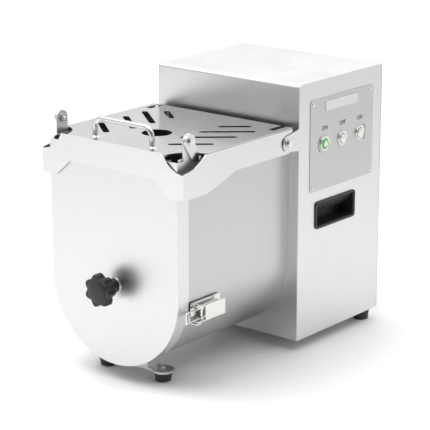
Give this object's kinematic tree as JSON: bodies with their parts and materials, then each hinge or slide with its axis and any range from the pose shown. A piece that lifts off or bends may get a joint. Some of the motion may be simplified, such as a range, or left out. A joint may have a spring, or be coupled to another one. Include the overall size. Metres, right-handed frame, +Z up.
{
  "type": "trough mixer",
  "caption": "Countertop U-trough mixer with a slotted hinged safety lid, latched front cap, star knob, turning paddles and a powered column with push-buttons.",
  "frame": {"origin": "centre of the footprint box at floor level, under the feet", "axes": "+Z up; -Y is the front with the cap and knob; +X is the side with the push-buttons; Y runs along the paddle shaft"},
  "size_m": [0.32, 0.608, 0.47],
  "materials": {
    "satin_steel": "satin, fine brushed grain",
    "polished_steel": "bright, finely brushed",
    "zinc_hardware": "bright machined",
    "black_plastic": "moulded, slight grain",
    "black_rubber": "matt",
    "cast_aluminium": "as cast",
    "machined_steel": "turned and ground",
    "bronze": "turned",
    "grey_plastic": "moulded",
    "button_green": "translucent green, lit",
    "button_grey": "brushed metal"
  },
  "bodies": {
    "frame": {"column_wrap": "satin_steel", "left_side_panel": "satin_steel", "right_side_panel": "satin_steel", "back_cover": "satin_steel", "base_plate": "satin_steel", "front_foot_bar": "satin_steel", "rubber_feet": "black_rubber", "foot_screws": "zinc_hardware", "trough_shell": "satin_steel", "trough_rear_wall": "satin_steel", "front_cap": "polished_steel", "cap_gasket": "black_rubber", "cap_hinge_links": "polished_steel", "cap_hinge_bolts": "zinc_hardware", "bearing_hub": "cast_aluminium", "lid_pivot_bolts": "zinc_hardware", "lid_sensor": "black_plastic", "latch_bases": "polished_steel", "latch_keepers": "polished_steel", "shaft_seal": "black_rubber", "gearbox_housing": "cast_aluminium", "gearbox_cover": "cast_aluminium", "ball_bearings": "machined_steel", "drive_belt": "black_rubber", "motor_housing": "cast_aluminium", "fan_cowl": "black_plastic", "motor_shelf": "satin_steel", "contactor_box": "grey_plastic", "capacitor": "grey_plastic", "cable_gland": "black_plastic", "control_plate": "satin_steel", "badge_plate": "polished_steel", "panel_screws": "zinc_hardware", "button_bezels": "button_grey", "grip_cups": "black_plastic"},
    "lid": {"lid_plate": "satin_steel", "lid_skirt": "polished_steel", "lid_handle": "polished_steel", "lid_magnet": "black_plastic"},
    "knob_carriage": {"thrust_washer": "zinc_hardware"},
    "knob": {"star_knob": "black_plastic", "knob_stud": "zinc_hardware"},
    "lever_right": {"latch_lever_right": "polished_steel"},
    "lever_left": {"latch_lever_left": "polished_steel"},
    "bail_right": {"latch_bail_right": "polished_steel"},
    "bail_left": {"latch_bail_left": "polished_steel"},
    "paddle": {"paddle_shaft": "polished_steel", "paddle_arms": "polished_steel", "front_bush": "bronze", "output_shaft": "machined_steel", "output_gear": "machined_steel"},
    "countershaft": {"countershaft": "machined_steel"},
    "input": {"input_shaft": "machined_steel", "driven_pulley": "cast_aluminium"},
    "rotor": {"motor_rotor": "machined_steel", "cooling_fan": "black_plastic", "motor_pulley": "cast_aluminium"},
    "button_on_front": {"on_button_front": "button_green"},
    "button_off": {"off_button": "button_grey"},
    "button_on_rear": {"on_button_rear": "button_grey"}
  },
  "joints": [
    {"name": "lid_hinge", "type": "hinge", "parent": "frame", "child": "lid", "pos_m": [0, 0.008, 0.376], "axis": [-1, 0, 0], "range_deg": [0, 90]},
    {"name": "knob_turn", "type": "hinge", "parent": "knob_carriage", "child": "knob", "pos_m": [0, -0.283, 0.165], "axis": [0, -1, 0], "range_deg": [0, 1080]},
    {"name": "knob_travel", "type": "slide", "parent": "frame", "child": "knob_carriage", "axis": [0, -1, 0], "range_m": [0, 0.006]},
    {"name": "latch_right", "type": "hinge", "parent": "frame", "child": "lever_right", "pos_m": [0.144, -0.221, 0.1355], "axis": [0, 0, -1], "range_deg": [0, 110]},
    {"name": "latch_left", "type": "hinge", "parent": "frame", "child": "lever_left", "pos_m": [-0.144, -0.221, 0.1355], "axis": [0, 0, 1], "range_deg": [0, 110]},
    {"name": "bail_right_pivot", "type": "hinge", "parent": "lever_right", "child": "bail_right", "pos_m": [0.144, -0.209, 0.1355], "axis": [0, 0, -1], "range_deg": [-110, 0]},
    {"name": "bail_left_pivot", "type": "hinge", "parent": "lever_left", "child": "bail_left", "pos_m": [-0.144, -0.209, 0.1355], "axis": [0, 0, 1], "range_deg": [-110, 0]},
    {"name": "paddle_spin", "type": "hinge", "parent": "frame", "child": "paddle", "pos_m": [0, -0.063, 0.165], "axis": [0, 1, 0], "continuous": true},
    {"name": "countershaft_spin", "type": "hinge", "parent": "frame", "child": "countershaft", "pos_m": [-0.05, 0.097, 0.2443], "axis": [0, 1, 0], "continuous": true},
    {"name": "input_spin", "type": "hinge", "parent": "frame", "child": "input", "pos_m": [0, 0.137, 0.28425], "axis": [0, 1, 0], "continuous": true},
    {"name": "rotor_spin", "type": "hinge", "parent": "frame", "child": "rotor", "pos_m": [0, 0.137, 0.392], "axis": [0, 1, 0], "continuous": true},
    {"name": "press_on_front", "type": "slide", "parent": "frame", "child": "button_on_front", "axis": [-1, 0, 0], "range_m": [0, 0.0025], "stiffness_N_per_m": 600, "springref_m": -0.003},
    {"name": "press_off", "type": "slide", "parent": "frame", "child": "button_off", "axis": [-1, 0, 0], "range_m": [0, 0.0025], "stiffness_N_per_m": 600, "springref_m": -0.003},
    {"name": "press_on_rear", "type": "slide", "parent": "frame", "child": "button_on_rear", "axis": [-1, 0, 0], "range_m": [0, 0.0025], "stiffness_N_per_m": 600, "springref_m": -0.003}
  ],
  "couplings": [
    {"joint": "knob_travel", "follows": "knob_turn", "m_per_rad": 0.00031831},
    {"joint": "bail_right_pivot", "follows": "latch_right", "ratio": -1},
    {"joint": "bail_left_pivot", "follows": "latch_left", "ratio": -1},
    {"joint": "countershaft_spin", "follows": "paddle_spin", "ratio": -4},
    {"joint": "input_spin", "follows": "paddle_spin", "ratio": 12},
    {"joint": "rotor_spin", "follows": "paddle_spin", "ratio": 30}
  ]
}
